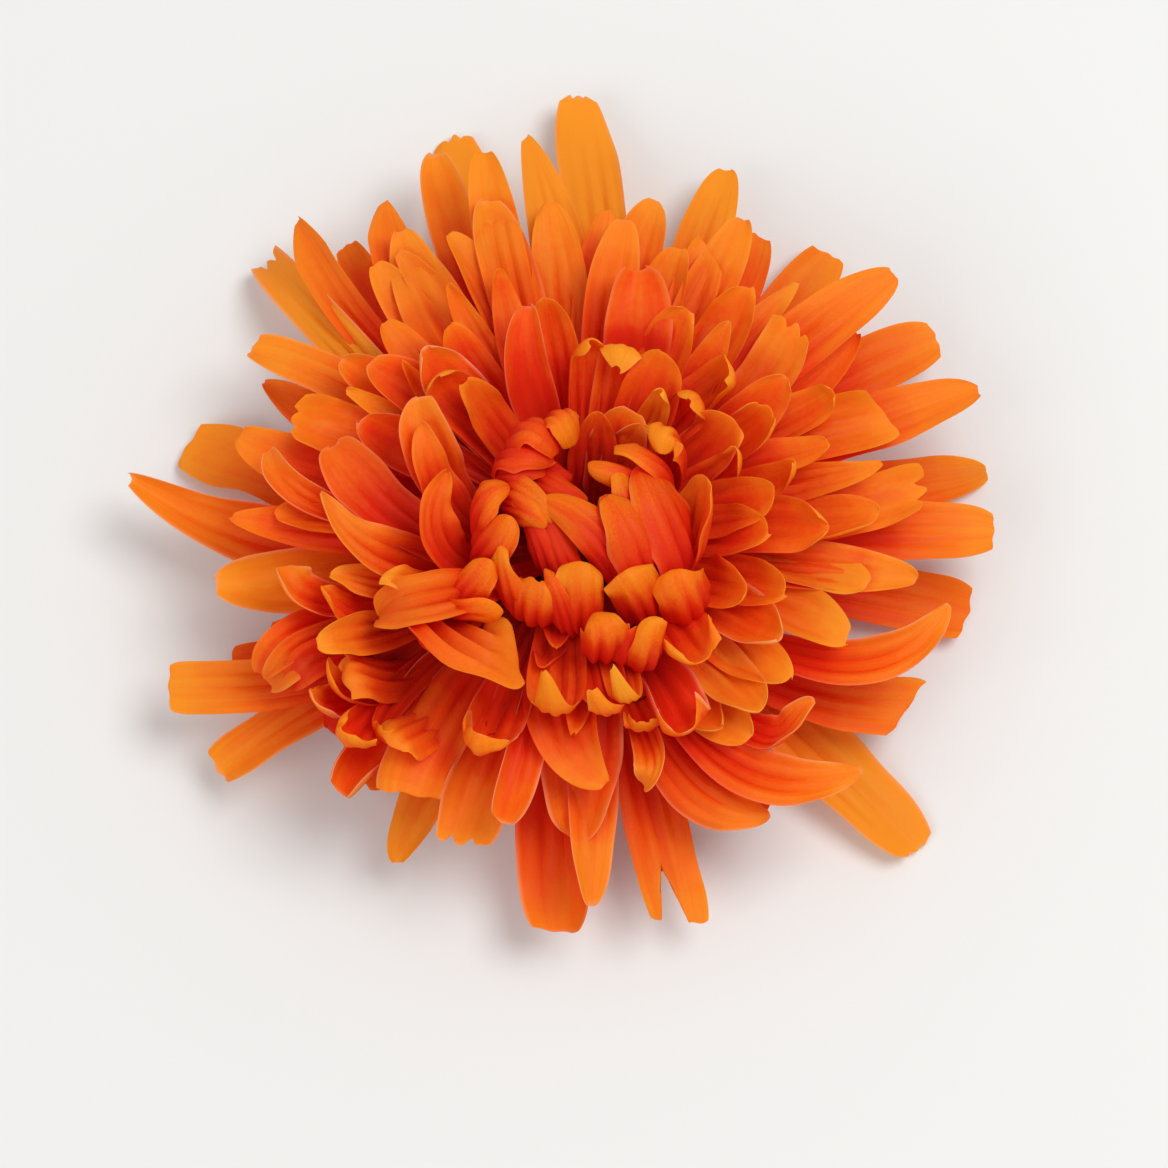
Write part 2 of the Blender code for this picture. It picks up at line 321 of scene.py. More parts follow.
    def point(self, across, along):
        """Point of the sheet, and its share of the length, from foot to tip."""
        late = max(0.0, min(1.0, 2.0 * along - 1.0))
        share = (1.0 - (1.0 - along) ** CROWDING) * (1.0 - self.setback(across) * late)
        aside, inner = self.frame_at(share)
        out, up = self.section(share, across)
        out += self.sway * math.sin(math.pi * share) + self.drift * share ** 4
        up += self.buckle * math.sin(2.0 * math.pi * (share + self.phases[3])) * share
        up += self.petal.hook * max(0.0, (share - HOOK_START) / (1.0 - HOOK_START)) ** 2
        return self.middle(share) + out * aside + up * inner, share


def add_petal(builder, petal, ring, tone):
    """Add one petal's sheet to a mesh, with its places along and across kept for its finish."""
    layers = {name: builder.verts.layers.float[name] for name in PETAL_LAYERS}
    flesh = builder.verts.layers.deform.verify()
    sheet = Sheet(petal, ring)
    grid = bmesh.ops.create_grid(builder, x_segments=STEPS_ACROSS, y_segments=STEPS_ALONG, size=1.0)
    for vert in grid["verts"]:
        across, along = vert.co.x, 0.5 * (vert.co.y + 1.0)
        place, share = sheet.point(across, along)
        vert[layers["along"]] = share
        vert[layers["across"]] = across
        vert[layers["tone"]] = tone + sheet.tone
        vert[layers["pale"]] = sheet.pale
        vert[flesh][0] = (1.0 - abs(across) ** 4) * (1.0 - along ** 12)
        vert.co = (place + Vector((AXIS.x, AXIS.y, 0.0))) * MM


def add_object(name, data):
    """A new object in the scene."""
    made = bpy.data.objects.new(name, data)
    bpy.context.scene.collection.objects.link(made)
    return made


def petal_object(name, petals, ring, tone=0.0):
    """One piece that holds some petals, each a closed sheet, thinner at its edges."""
    settings = bpy.context.scene.bloom_settings
    builder = bmesh.new()
    for layer in PETAL_LAYERS:
        builder.verts.layers.float.new(layer)
    for petal in petals:
        add_petal(builder, petal, ring, tone)
    mesh = bpy.data.meshes.new(name)
    builder.to_mesh(mesh)
    builder.free()
    piece = add_object(name, mesh)
    piece.vertex_groups.new(name="flesh")
    mesh.materials.append(petal_finish("petal_inner_face", settings.inner_rim_highlight))
    mesh.materials.append(petal_finish("petal_outer_face", settings.outer_rim_highlight))

    solidify = piece.modifiers.new("thickness", "SOLIDIFY")
    solidify.thickness = settings.thickness
    solidify.offset = 0.0
    solidify.vertex_group = "flesh"
    solidify.thickness_vertex_group = EDGE_THICKNESS
    solidify.material_offset = 1
    solidify.material_offset_rim = 0
    apply_modifiers(piece)
    piece.data.shade_smooth()
    piece.data.set_sharp_from_angle(angle=SHARP)
    return piece


def apply_modifiers(piece):
    """Keep what an object's modifiers make as its own mesh."""
    graph = bpy.context.evaluated_depsgraph_get()
    made = bpy.data.meshes.new_from_object(piece.evaluated_get(graph))
    old = piece.data
    piece.modifiers.clear()
    piece.data = made
    made.name = piece.name
    bpy.data.meshes.remove(old)


# Painted shade: points that other petals hide from the sky are painted darker and redder, open ones
# lighter and yellower
# Ways to look up from a petal: straight up, and five that lean 41 degrees from it
SKY = [UP] + [0.66 * level(72.0 * number) + 0.75 * UP for number in range(5)]
CLEARANCE, OUTLOOK = 1.2 * MM, 28.0 * MM
OWN_PAINTED_SHADE = 0.4         # share of a point's own painted shade, the rest is its row's mean


def mark_painted_shade(pieces):
    """Keep with every point of the petals how much of the sky its neighbours hide, for the painted
    shade of its colour.
    """
    places, faces = [], []
    for piece in pieces:
        first = len(places)
        places += [vert.co for vert in piece.data.vertices]
        faces += [[first + number for number in face.vertices] for face in piece.data.polygons]
    tree = BVHTree.FromPolygons(places, faces)
    row = STEPS_ACROSS + 1
    for piece in pieces:
        seen = []
        verts = piece.data.vertices
        for vert in verts[:len(verts) // 2]:       # the other half is the petals' other face
            hits = sum(tree.ray_cast(vert.co + CLEARANCE * way, way, OUTLOOK)[0] is not None
                       for way in SKY)
            seen.append(hits / len(SKY))
        means = [sum(seen[start:start + row]) / row for start in range(0, len(seen), row)]
        seen = [OWN_PAINTED_SHADE * own + (1.0 - OWN_PAINTED_SHADE) * means[number // row]
                for number, own in enumerate(seen)]
        layer = piece.data.attributes.new("shelter", "FLOAT", "POINT")
        layer.data.foreach_set("value", seen + seen)


# ---------------------------------------------------------------------------
# The single petals of the rim, by row from the surface up.  Their direction, reach and width
# come from the solids; swing turns a petal, further lengthens it and broaden widens it.
# A helper program worked out swing, further and bends for part of them
# ---------------------------------------------------------------------------
SINGLES = (
    (    # row 1
        dict(broaden=1.2, tone=0.05),
        dict(tip="blunt", broaden=1.15, tone=0.08),
        dict(tone=0.15),
        dict(tip="lobed", swing=-1.6, further=1.8, broaden=1.25, root=104, heading=98, cup=30,
            wave=2.0, tone=0.85, pale=0.3),
        # Partly painted light: the petal is yellow, and its tone and full pale rim are raised
        # further to light it where it lies in the shade of the petals above
        dict(tip="notch", swing=-2.6, further=-1, broaden=1.3, root=142,
            bends=((153.5, 21.5, 30.5), (138, 56.5, 20.5)), cup=30, tip_cup=55, fold=6, tone=0.7,
            pale=1.0),
        dict(tip="blunt", swing=-1.5, broaden=1.3, cup=30, wave=1.8, tone=0.22),
        dict(tip="square", swing=5.5, broaden=1.15, root=224, heading=189, cup=30, slant=-0.01,
            wave=1.5, tone=0.05),
        dict(),
        dict(further=-6),
        dict(),
        dict(tip="lobed", swing=1.0, further=1.2, broaden=1.24, cup=30, fold=12, tone=0.6,
            pale=0.4),
        dict(tip="square", swing=2, broaden=1.25, cup=30, tone=0.05),
    ),
    (    # row 2
        dict(tip="blunt", broaden=1.25, tone=0.05),
        dict(swing=-0.5, further=1.7, broaden=1.35, cup=35, tone=0.3),
        dict(tip="lobed", swing=-0.5, further=2.7, broaden=1.2, root=80, heading=91, cup=30,
            tone=0.7, pale=0.4),
        dict(tip="blunt", swing=-1.2, broaden=0.9, heading=112, cup=40),
        dict(tip="leaf", swing=-1.7, broaden=1.9, cup=40, tone=0.08),
        dict(tip="square", swing=2.3, further=1.6, broaden=1.1, cup=70, slant=-0.005, wave=1.6,
            tone=0.25, pale=0.6),
        # Partly painted light: the petal is yellow orange, and its tone is raised further to light
        # it where it lies in the bloom's shade
        dict(tip="oval", swing=0.5, broaden=1.2, cup=30, fold=8, loose=0.1, tone=0.35),
        dict(tip="blunt", swing=0.6, broaden=1.42, root=261, heading=273, cup=45, tip_cup=60,
            hook=2.0, loose=0.1, tone=-0.06, pale=0.6),
        dict(tip="fork", swing=-0.5, broaden=1.2, slant=-0.04, cup=35, tone=0.02),
        dict(tip="square", swing=2.5, further=1, broaden=1.3, root=325,
            bends=((316.5, 34.5, 16), (329, 48, 13.5)), cup=35, slant=-0.08),
    ),
    (    # row 3
        dict(tip="blunt", cup=35, tone=0.05),
        dict(broaden=1.25),
        dict(swing=-1.3, broaden=1.25, root=113, heading=100, cup=60, tone=0.15, pale=0.5),
        dict(tip="spade", swing=-0.6, further=1.5, broaden=0.95, root=136, heading=112, cup=50),
        dict(tip="leaf", swing=1, broaden=1.7, root=187,
            bends=((189, 25.5, 21.5), (180, 50.5, 14.5)), cup=75, fold=15, hook=3.0, tone=0.08,
            pale=0.7),
        dict(tip="square", broaden=1.15, root=204, bends=((218, 40.5, 23), (201, 58, 13)), cup=35,
            tone=0.08),
        dict(cup=50),
    ),
    (    # row 4
        dict(broaden=1.2),
        dict(cup=40, tone=0.05),
        dict(tip="leaf", swing=-2.6, broaden=1.9, root=88, cup=35, drift=1.0, tone=0.6),
        dict(tip="spade", swing=-2.5, broaden=1.15, root=138, heading=95, cup=45, tone=0.03),
        dict(tip="blunt", cup=45, tone=0.1, pale=0.3),
        dict(swing=2.2, broaden=1.35, cup=45, tip_cup=60, fold=12, hook=2.0, tone=0.25, pale=0.6),
        dict(tip="blunt", swing=3.5, broaden=1.6, cup=100, tip_cup=120, wave=2.5, hook=3.5,
            tone=0.05, pale=0.9),
        dict(tip="notch", broaden=1.35, cup=60, wave=3.0, hook=2.5, tone=0.05, pale=0.7),
        dict(tip="oval", swing=-1, broaden=1.25, cup=50, tone=0.12, pale=0.5),
        dict(tip="leaf", swing=3.5, further=-1.1, broaden=1.3, root=288,
            bends=((289.5, 40, 22.5), (295.5, 47.5, 21.5)), cup=-40, tone=0.05, pale=0.6),
    ),
    (    # row 5
        dict(broaden=1.25),
        dict(cup=45),
        dict(swing=1.3, broaden=1.3, root=107, heading=95, cup=45, tone=0.12),
        dict(tip="oval", swing=0.7, further=-2, broaden=1.6, cup=45, tone=0.1),
        dict(broaden=1.25, cup=40),
        dict(tip="leaf", swing=4.9, further=1.1, broaden=1.2, root=300,
            bends=((294.5, 46, 27.5), (308.5, 51, 22.5)), cup=40, tone=0.05, pale=0.5),
        dict(tip="leaf", swing=5.3, further=-1.7, broaden=1.2, root=335,
            bends=((325, 44, 23.5), (337, 54.5, 24.5)), cup=60, tone=0.05, pale=0.6),
    ),
    (    # row 6
        dict(cup=50),
        dict(tip="leaf", swing=3.3, broaden=1.3, cup=45, tone=-0.12),
        dict(tip="square", swing=4, further=-1, broaden=1.5, cup=-55, slant=0.035, wave=2.0,
            tone=0.05, pale=0.4),
        dict(tip="blunt", swing=-1.9, further=0.5, broaden=0.9, cup=75, wave=1.8, hook=3.0,
            tone=-0.16, pale=0.9),
    ),
)
FIRST_RING, RING_STEP = 1, 8                   # how far up the dome each row grows, in degrees
ROW_ARRIVALS = (-4, -12, -12, -8, -3, 4)       # how the petals of each row point at their tips
WIDTH_MARGIN = 0.4        # the solid's own thickness and cup hide this much of its width
TIP_ZONE = 5.0            # this much of a solid's end counts as its tip
TIP_LIFT = 0.5            # a sheet's tip lies this far above the lowest point of that


def singles():
    """Every single petal: its node, the number of its row from 0 up, and its traits."""
    for row, petals in enumerate(SINGLES):
        for number, traits in enumerate(petals, 1):
            yield f"petal_row{row + 1}_{number:02d}", row, traits


def measured_petal(node, row, swing=0.0, further=0.0, broaden=1.1, **traits):
    """The petal that a single solid stands for, with its own traits."""
    axis = Vector((AXIS.x, AXIS.y, 0.0))
    places = [vert.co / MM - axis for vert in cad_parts[node].data.vertices]
    far = max(places, key=lambda place: place.xy.length)
    near_tip = [place for place in places if (place - far).xy.length < TIP_ZONE]
    middle = sum(near_tip, Vector()) / len(near_tip)
    turn = math.atan2(middle.y, middle.x)
    aside = Vector((-math.sin(turn), math.cos(turn), 0.0))
    offsets = [place.dot(aside) for place in places]
    width = max(offsets) - min(offsets) + WIDTH_MARGIN
    top = min(place.z for place in near_tip) + TIP_LIFT
    return Petal(math.degrees(turn) + swing, far.xy.length + further, top, ROW_ARRIVALS[row],
                 broaden * width, **traits)


# ---------------------------------------------------------------------------
# The whorls above them, from the outside in.  A helper program worked out most of the
# directions, reaches, roots and bends in these lists; they don't follow from the solids
# ---------------------------------------------------------------------------
OUTER_PETALS = (
    Petal(105, 56.5, 25, 20, 10, cup=50, hook=2.5, tone=0.14, pale=0.4),
    Petal(95.5, 54, 25, 20, 9, cup=35, tone=0.05),
    Petal(85, 53.5, 23, 10, 6.5, tone=0.1),
    Petal(113, 52.5, 26, 15, 7, cup=50),
    Petal(126, 54.5, 24, 8, 8, cup=40),
    Petal(121.5, 54, 25, 12, 7.5, "oval", cup=45),
    Petal(117, 43.5, 32, 42, 7.5, "leaf", cup=55, fold=10),
    Petal(107, 42.5, 32, 45, 8.5, "leaf", cup=50, tone=-0.12),
    Petal(143, 46, 28, 20, 9, cup=65, hook=1.5, pale=0.3),
    Petal(141.5, 41.5, 32, 35, 10.5, cup=70, tone=-0.2, pale=0.3),
    Petal(132.5, 45, 28, 18, 7.5, cup=45),
    Petal(149, 42, 31, 30, 7, "leaf", cup=70, tone=0.25, fold=20),
    Petal(159, 48.5, 28, 25, 10.5, "notch", cup=60, hook=2, wave=2, tone=0.05),
    bent(165, 49, 29, 7, 176, (176, 33.5, 22.5), (179, 46, 36), cup=100, twist=-25, tone=-0.1,
        pale=0.8),
    Petal(179, 46.5, 30, 20, 8, cup=50),
    bent(188.5, 45.5, 32, 8, 197, (200, 42, 23), (196.5, 45.5, 34.5), cup=80, twist=-20, pale=0.7),
    bent(195.5, 40.5, 35, 7.5, 205, (212, 36, 22), (201.5, 39, 34.5), "leaf", cup=45, tone=-0.05),
    bent(206.5, 44.5, 36.5, 9, 208, (208.5, 33.5, 22.5), (207.5, 39, 36.5), "oval", cup=75,
        tone=0.22),
    bent(203, 53.5, 22, 7.5, 200, (198.5, 44.5, 16.5), (200, 46, 34), cup=50, tone=-0.05),
    bent(206.5, 52.5, 21, 7, 204, (202.5, 45, 18.5), (204, 45, 34.5), cup=50, tone=0.08),
    bent(207.5, 50, 24, 7, 207, (206.5, 45.5, 19.5), (206.5, 45, 35.5), cup=60, tone=-0.3,
        wave=0.4),
    Petal(198, 51.5, 14, 0, 8.5, "square", cup=30, tone=0.02),
    bent(209.5, 44, 33, 8.5, 218, (225, 41, 21), (215.5, 48.5, 28.5), "leaf", cup=80, tip_cup=90),
    bent(213.5, 43.5, 32, 9.5, 218, (224, 44, 16), (213.5, 38.5, 39), cup=-45, tone=0.12),
    bent(211.5, 48.5, 29, 7, 217, (219, 47.5, 15), (217, 50, 27.5), "notch", cup=80, pale=0.9),
    bent(223, 48.5, 34, 10.5, 223, (219, 42, 25.5), (226, 53, 26), cup=80, tip_cup=100),
    Petal(217, 48.5, 17, 0, 12, cup=40, tone=-0.2),
    Petal(205.5, 44.5, 17, 0, 12, cup=40, tone=-0.2),
    # Painted shade: a very dark, red tone for this low petal deep in the bloom's shade
    Petal(210.5, 38, 21, 18, 12.5, cup=45, tone=-0.9),
    bent(228, 43.5, 33, 8.5, 226, (216, 43.5, 24.5), (233.5, 47, 25), cup=80, tip_cup=100,
        tone=-0.1),
    bent(232, 45.5, 33, 9, 234, (238, 40.5, 17.5), (230, 41, 37), cup=-45, tone=0.05),
    # Painted shade: a very dark, red tone for this low petal deep in the bloom's shade
    Petal(236.5, 36, 19, 15, 10, cup=55, tone=-1),
    Petal(247, 35.5, 31, 55, 8.5, "leaf", cup=60, tone=-0.1),
    Petal(270.5, 47, 20, -25, 14.5, "oval", cup=45, pale=0.6, wave=1.6),
    Petal(276, 40.5, 29, -12, 14.5, "leaf", root=266, heading=338, cup=55, tone=-0.05),
    bent(283.5, 41.5, 28, 6, 287, (287, 38, 21.5), (288, 39.5, 37.5), cup=60, tone=0.1, twist=30,
        wave=0.5, pale=0.5, loose=0.1),
    bent(285.5, 33, 34, 7.5, 287, (285, 27, 33), (288.5, 37, 27), "notch", cup=80, tone=0.08,
        wave=2),
    Petal(304.5, 38, 29, 40, 9, cup=60, twist=15, tone=0.14),
    bent(202, 32.5, 41, 7, 206, (214.5, 28.5, 30.5), (199, 28, 43), "point", cup=20, tone=0.3,
        loose=0.1),
    Petal(307.5, 42, 27, 20, 10, cup=45, tone=0.26),
    Petal(321.5, 40, 31, 35, 10, cup=55, tone=0.26),
    bent(322, 45.5, 31, 8, 311, (306, 53, 21.5), (314.5, 43.5, 28.5), "leaf", cup=70, twist=40,
        tone=-0.1, pale=0.6),
    Petal(337.5, 44.5, 27, 18, 10, cup=50, tone=0.26),
    Petal(350, 45, 27, 18, 9.5, cup=45, tone=0.26),
    Petal(70.5, 48.5, 27, 22, 8.5, cup=45),
    bent(76, 41.5, 33, 11.5, 72, (72.5, 29, 24.5), (70.5, 27.5, 35.5), cup=45, tone=-0.34, pale=0.3,
        ribs=0.3),
    Petal(351, 52, 25, 10, 9.5, "oval", cup=45, tone=0.05, loose=1),
    Petal(358, 45, 31, 40, 10, cup=65, loose=1),
    Petal(6, 54, 24, 5, 10, "notch", cup=40, wave=1.6, tone=0.08, loose=1),
    Petal(14, 47, 30, 35, 8.5, "leaf", cup=60, twist=25, loose=1),
    Petal(21, 53, 25, 12, 10.5, "blunt", cup=50, slant=0.03, loose=1),
    Petal(29, 45, 32, 48, 9, cup=70, hook=2, loose=1),
    Petal(36, 55, 22, 0, 9, "oval", cup=45, tone=0.06, loose=1),
    Petal(43, 47, 30, 30, 10, "notch", cup=60, twist=-25, wave=1.8, loose=1),
    Petal(51, 53, 25, 15, 8.5, "leaf", cup=50, tone=0.04, loose=1),
    Petal(57, 46, 31, 45, 10, cup=65, loose=1),
    Petal(64, 51, 26, 10, 8, "blunt", cup=45, slant=-0.03, loose=1),
)
UPPER_PETALS = (
    bent(103.5, 33, 39.5, 10.5, 110, (102.5, 16.5, 22.5), (119.5, 22.5, 40), "oval", cup=85,
        tone=-0.36, pale=0.4, ribs=0.4),
    Petal(98, 34.5, 38, 58, 8, cup=55),
    Petal(136.5, 37.5, 33, 42, 8, "point", cup=60, tone=0.1),
    Petal(124.5, 36, 36, 50, 8, cup=50),
    Petal(130.5, 35.5, 37, 52, 11, cup=65, pale=0.9),
    Petal(135, 32.5, 39, 66, 10, cup=65, hook=3),
    bent(145, 30, 40.5, 9.5, 167, (180, 20, 27.5), (165, 23.5, 40), cup=50, twist=-65, tone=0.03,
        pale=0.4),
    Petal(154.5, 37.5, 33, 45, 11.5, cup=85, tone=-0.2, pale=0.4),
    bent(163.5, 40, 32, 10.5, 183, (210, 24.5, 33.5), (171, 35, 34.5), cup=60, tone=-0.12,
        pale=0.3),
    bent(176.5, 39.5, 39.5, 12, 195, (204, 26, 31.5), (195.5, 34, 38), "point", cup=50, twist=-15,
        tone=0.1, pale=0.3, loose=0.1),
    bent(193.5, 39, 35, 7.5, 201, (211, 29.5, 30.5), (196, 34, 34), "leaf", cup=45, tone=0.2),
    # Painted shade: these two low petals get very dark, red tones because they lie deep in the
    # bloom's shade
    Petal(219, 37, 20, 25, 10, cup=60, tone=-1.1),
    Petal(226, 35.5, 19, 20, 10, "leaf", cup=60, tone=-1.1),
    bent(246, 37, 37.5, 11.5, 247, (243.5, 17.5, 23.5), (248, 47, 32.5), "blunt", cup=60,
        tip_cup=75, fold=22, pale=0.4, tone=0.02, loose=0.1),
    bent(257.5, 26.5, 43, 12, 263, (246.5, 10, 38), (267.5, 44, 29), "leaf", cup=60, tip_cup=50,
        tone=0.1, loose=0.1),
    bent(273, 28.5, 42, 10, 278, (272, 12.5, 36.5), (281, 41, 31), "leaf", cup=70, tip_cup=60,
        tone=-0.02, loose=0.1),
    bent(280.5, 25.5, 43, 7, 284, (282.5, 11.5, 34.5), (285, 42, 32.5), "leaf", cup=45, tone=0.12,
        loose=0.1),
    Petal(270, 33.5, 34, 50, 9, "leaf", cup=65, tone=-0.12),
    bent(295.5, 37.5, 37.5, 12, 295, (293, 24.5, 35.5), (295.5, 38, 26.5), "notch", cup=75,
        tip_cup=90, wave=2.5, pale=0.9, tone=-0.12),
    Petal(326.5, 36, 35, 45, 11, cup=70, pale=0.8, tone=0.14),
    Petal(313.5, 40.5, 32, 40, 10, cup=50, pale=0.3, tone=0.26),
    Petal(338, 33.5, 36, 55, 9.5, cup=65),
    Petal(62.5, 36.5, 36, 52, 10, cup=50),
    Petal(1, 38, 35, 45, 11, cup=65, tone=-0.03, loose=1),
    Petal(11, 35, 38, 62, 9, "leaf", cup=65, hook=2, loose=1),
    Petal(19, 40, 34, 30, 8, "oval", cup=50, tone=0.05, loose=1),
    Petal(27, 34, 38, 70, 11, "notch", cup=80, tip_cup=100, twist=20, loose=1),
    Petal(37, 38, 36, 45, 9.5, cup=60, loose=1),
    Petal(46, 34, 38, 75, 9, "blunt", cup=75, twist=-30, hook=2, loose=1),
    Petal(55, 39, 35, 40, 9, "leaf", cup=55, loose=1),
)
MIDDLE_PETALS = (
    Petal(89.5, 27, 42, 95, 7, cup=85, twist=30, hook=1.5),
    Petal(77, 25.5, 42, 132, 7.5, "spade", cup=55, hook=4, tone=0.2),
    Petal(131, 26.5, 40, 66, 7.5, root=125, cup=55, tone=-0.08),
    bent(151, 26.5, 41.5, 9.5, 177, (196, 20, 29), (170, 23.5, 41), "leaf", cup=50, twist=-65),
    Petal(256, 24.5, 37, 80, 8, "leaf", cup=60, tone=-0.15),
    Petal(334, 28, 41, 80, 10, cup=70, twist=50),
    # Painted shade: a very dark, red tone for this petal deep in the bloom's shade
    Petal(288, 29, 30, 55, 9, cup=65, tone=-0.9),
    bent(30.5, 14, 44, 9, 32, (13, 23, 29), (53.5, 20.5, 51), cup=75, tone=0.05, loose=0.1),
    bent(12.5, 19.5, 42, 12, 352, (320.5, 25.5, 38.5), (2, 19, 39.5), cup=40, tone=0.1, loose=0.1),
    Petal(60, 27.5, 41, 64, 11, cup=55),
    Petal(55.5, 22, 42, 95, 6, "oval", cup=60, tone=0.25),
    Petal(355.5, 28.5, 39, 60, 10, cup=60),
    Petal(6, 29, 40, 72, 10.5, cup=65, loose=1),
    Petal(18, 26, 41, 95, 9, "leaf", cup=70, twist=25, loose=1),
    Petal(31, 28, 40, 60, 10.5, "blunt", cup=60, slant=0.02, loose=1),
    Petal(42, 25, 42, 105, 8.5, cup=75, hook=2, tone=0.05, loose=1),
)
INNER_PETALS = (
    bent(166.5, 20.5, 42, 10, 197, (211.5, 25, 33), (189.5, 24.5, 43.5), "leaf", cup=50, twist=-75,
        tone=-0.03),
    bent(207.5, 34, 35, 10, 216, (228.5, 24, 48.5), (210, 30.5, 43.5), "oval", cup=60, tone=0.24),
    bent(249, 25, 38.5, 15.5, 222, (209, 40.5, 32), (233.5, 27.5, 47), "blunt", cup=10, twist=78,
        wave=0.7, ribs=3, tone=0.2, loose=0.1),
    bent(215.5, 16, 44, 6.5, 218, (215, 36.5, 34), (223, 20, 45.5), cup=55, tone=-0.06),
    bent(235, 22, 41, 6, 219, (211.5, 35.5, 32), (225, 23, 46.5), "blunt", cup=50),
    bent(303, 13, 45, 9, 302, (302.5, 28.5, 30), (301.5, 17, 46.5), "square", cup=50, fold=12,
        tone=0.04),
    bent(323.5, 18, 44.5, 10, 315, (315.5, 34, 27.5), (313, 21.5, 46.5), "blunt", cup=55, fold=15,
        tone=0.04),
    bent(278.5, 17, 42.5, 10, 279, (276.5, 31, 25), (282.5, 23.5, 52.5), cup=60, tip_cup=80,
        tone=0.03),
    bent(304.5, 22, 43, 8.5, 293, (291, 36, 32.5), (293, 24.5, 42), cup=80, tip_cup=100, tone=0.04),
    bent(291.5, 20.5, 42, 6.5, 287, (284, 33.5, 36.5), (291, 23, 38.5), cup=60, tone=-0.1),
    bent(307.5, 31, 42.5, 12, 309, (317.5, 18.5, 40.5), (305, 28, 33), "notch", cup=75, tip_cup=90,
        wave=1.5, tone=0.03),
    Petal(66.5, 17, 41, 62, 10, cup=50, tone=0.06, pale=0.4),
    Petal(82.5, 15, 41.5, 62, 8.5, "oval", cup=40, tone=-0.08),
    Petal(53.5, 16.5, 40, 62, 9, cup=50, pale=0.4, tone=0.04),
    Petal(261, 21.5, 38, 75, 8, "leaf", cup=60, tone=-0.2),
)
INCURVED_PETALS = (
    bent(93, 9, 42.5, 8, 112, (132.5, 17, 34), (96.5, 17.5, 54), "blunt", cup=55, tone=0.06),
    bent(112.5, 8.5, 43, 8.5, 134, (155.5, 19, 34.5), (116, 18, 53.5), "blunt", cup=55, tone=0.03),
    bent(123.5, 7.5, 42.5, 8, 145, (152, 21.5, 32), (136.5, 13.5, 53.5), cup=50),
    bent(135, 7, 42, 8, 155, (157, 21.5, 33), (156, 12, 51), "oval", cup=50),
    bent(170.5, 10.5, 44, 8.5, 190, (207, 22, 27), (174, 18.5, 52.5), "oval", cup=55),
    bent(220, 4.5, 44, 6.5, 169, (167.5, 17.5, 41.5), (165.5, 11, 48), "oval", cup=50, tone=-0.02),
    bent(219.5, 7, 43.5, 6, 180, (170, 17.5, 40.5), (190, 10, 47.5), "oval", cup=50),
    bent(194, 11, 45.5, 9, 209, (208, 25, 29), (213.5, 17, 47.5), cup=60, tone=0.02),
    bent(212, 13.5, 45, 8.5, 238, (249, 26, 32), (229, 18.5, 45), "leaf", cup=60, tone=0.06),
    bent(239.5, 13.5, 43.5, 9, 246, (248, 24.5, 31.5), (244.5, 19, 44.5), "notch", cup=50),
    bent(245, 11.5, 43.5, 6, 264, (269, 27.5, 28), (261, 17, 46.5), "leaf", cup=50, tone=-0.08),
    bent(272.5, 9.5, 45, 8.5, 271, (273.5, 26.5, 30), (268, 16.5, 46.5), "blunt", cup=60,
        tone=0.02),
    bent(11, 4.5, 45.5, 10, 311, (300.5, 26.5, 31), (326, 15, 51), cup=55, pale=0.2),
    bent(32.5, 11.5, 43.5, 13, 328, (315.5, 29, 26.5), (336.5, 19, 49.5), cup=50, tone=-0.12,
        pale=0.2),
    bent(41, 8, 44, 7, 329, (319.5, 22.5, 30.5), (339, 8.5, 49), "oval", cup=55),
    bent(60.5, 9.5, 44, 7.5, 19, (8.5, 20, 29), (24.5, 15.5, 51), "oval", cup=55, tone=0.05),
    bent(80.5, 5.5, 44.5, 7.5, 15, (6.5, 17.5, 31), (19, 10.5, 48.5), "blunt", cup=110, tip_cup=150,
        tone=0.05),
)
HEART_PETALS = (
    bent(176, 5.5, 44.5, 8.5, 304, (304, 26, 35), (312.5, 8, 50), "oval", cup=45, tone=-0.1),
    bent(17.5, 4, 44, 7, 314, (308.5, 19.5, 35.5), (319, 9, 46.5), "oval", cup=50, tone=-0.05),
    bent(22, 1.5, 42, 6.5, 151, (148.5, 18.5, 38.5), (163.5, 6, 47), "oval", cup=50, tone=-0.08),
    bent(187.5, 9, 42, 6, 243, (252.5, 18, 33), (239.5, 9.5, 44.5), "oval", cup=50, tone=-0.15),
    bent(184, 6.5, 43, 6.5, 264, (272.5, 22.5, 32.5), (257.5, 9.5, 45), "oval", cup=50, tone=-0.12),
    bent(99, 5, 40, 6, 137, (138.5, 15.5, 33.5), (140, 9, 44.5), "oval", cup=50, tone=-0.2),
)
# How far up the dome each whorl grows, in degrees, its tone and its petals
WHORLS = {
    "petal_whorl_outer": (48, -0.02, OUTER_PETALS),
    "petal_whorl_upper": (56, -0.08, UPPER_PETALS),
    "petal_whorl_middle": (63, -0.12, MIDDLE_PETALS),
    "petal_whorl_inner": (68, -0.18, INNER_PETALS),
    "petal_whorl_incurved": (73, -0.20, INCURVED_PETALS),
    "petal_heart": (80, -0.21, HEART_PETALS),
}


# ---------------------------------------------------------------------------
# Finishes
# ---------------------------------------------------------------------------
def linear(hex_colour):
    """An sRGB hex colour as the linear colour that a shader takes."""
    channels = [int(hex_colour[start:start + 2], 16) / 255.0 for start in (1, 3, 5)]
    straight = [value / 12.92 if value <= 0.04045 else ((value + 0.055) / 1.055) ** 2.4
                for value in channels]
    return (*straight, 1.0)


def add_node(tree, kind, settings=(), values=(), links=()):
    """Add a node with its settings, the values of its sockets and the links into it."""
    node = tree.nodes.new(kind)
    for name, value in dict(settings).items():
        setattr(node, name, value)
    for socket, value in dict(values).items():
        node.inputs[socket].default_value = value
    for socket, source in dict(links).items():
        tree.links.new(source, node.inputs[socket])
    return node


